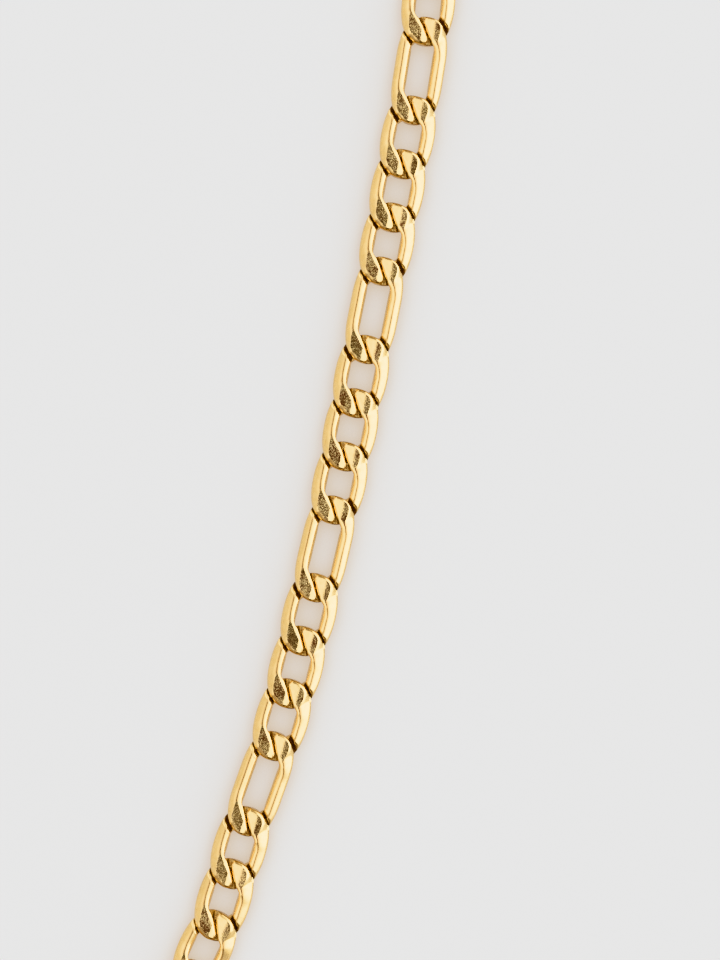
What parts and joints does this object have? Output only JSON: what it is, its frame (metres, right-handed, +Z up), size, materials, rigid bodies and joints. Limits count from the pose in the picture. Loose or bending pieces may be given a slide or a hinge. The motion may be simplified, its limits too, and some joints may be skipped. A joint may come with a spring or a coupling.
{
  "type": "figaro chain necklace",
  "caption": "Closed figaro necklace of twisted oval wire links, filed flat above and below, short links between long ones, with a ring at each end and a claw clasp, lying as a loop.",
  "frame": {"origin": "on the surface under the middle of the closed loop", "axes": "+Z up from the surface that the chain lies on, +Y along the loop's long way, towards the top of the picture"},
  "size_m": [0.1258, 0.1952, 0.0026],
  "materials": {
    "chain_gold": "polished gold plating with filed flats",
    "clasp_gold": "polished gold plating"
  },
  "bodies": {
    "root": {"chain_first_half": "chain_gold", "chain_second_half": "chain_gold", "clasp_ring": "clasp_gold", "end_ring": "clasp_gold", "clasp": "clasp_gold"}
  },
  "joints": []
}
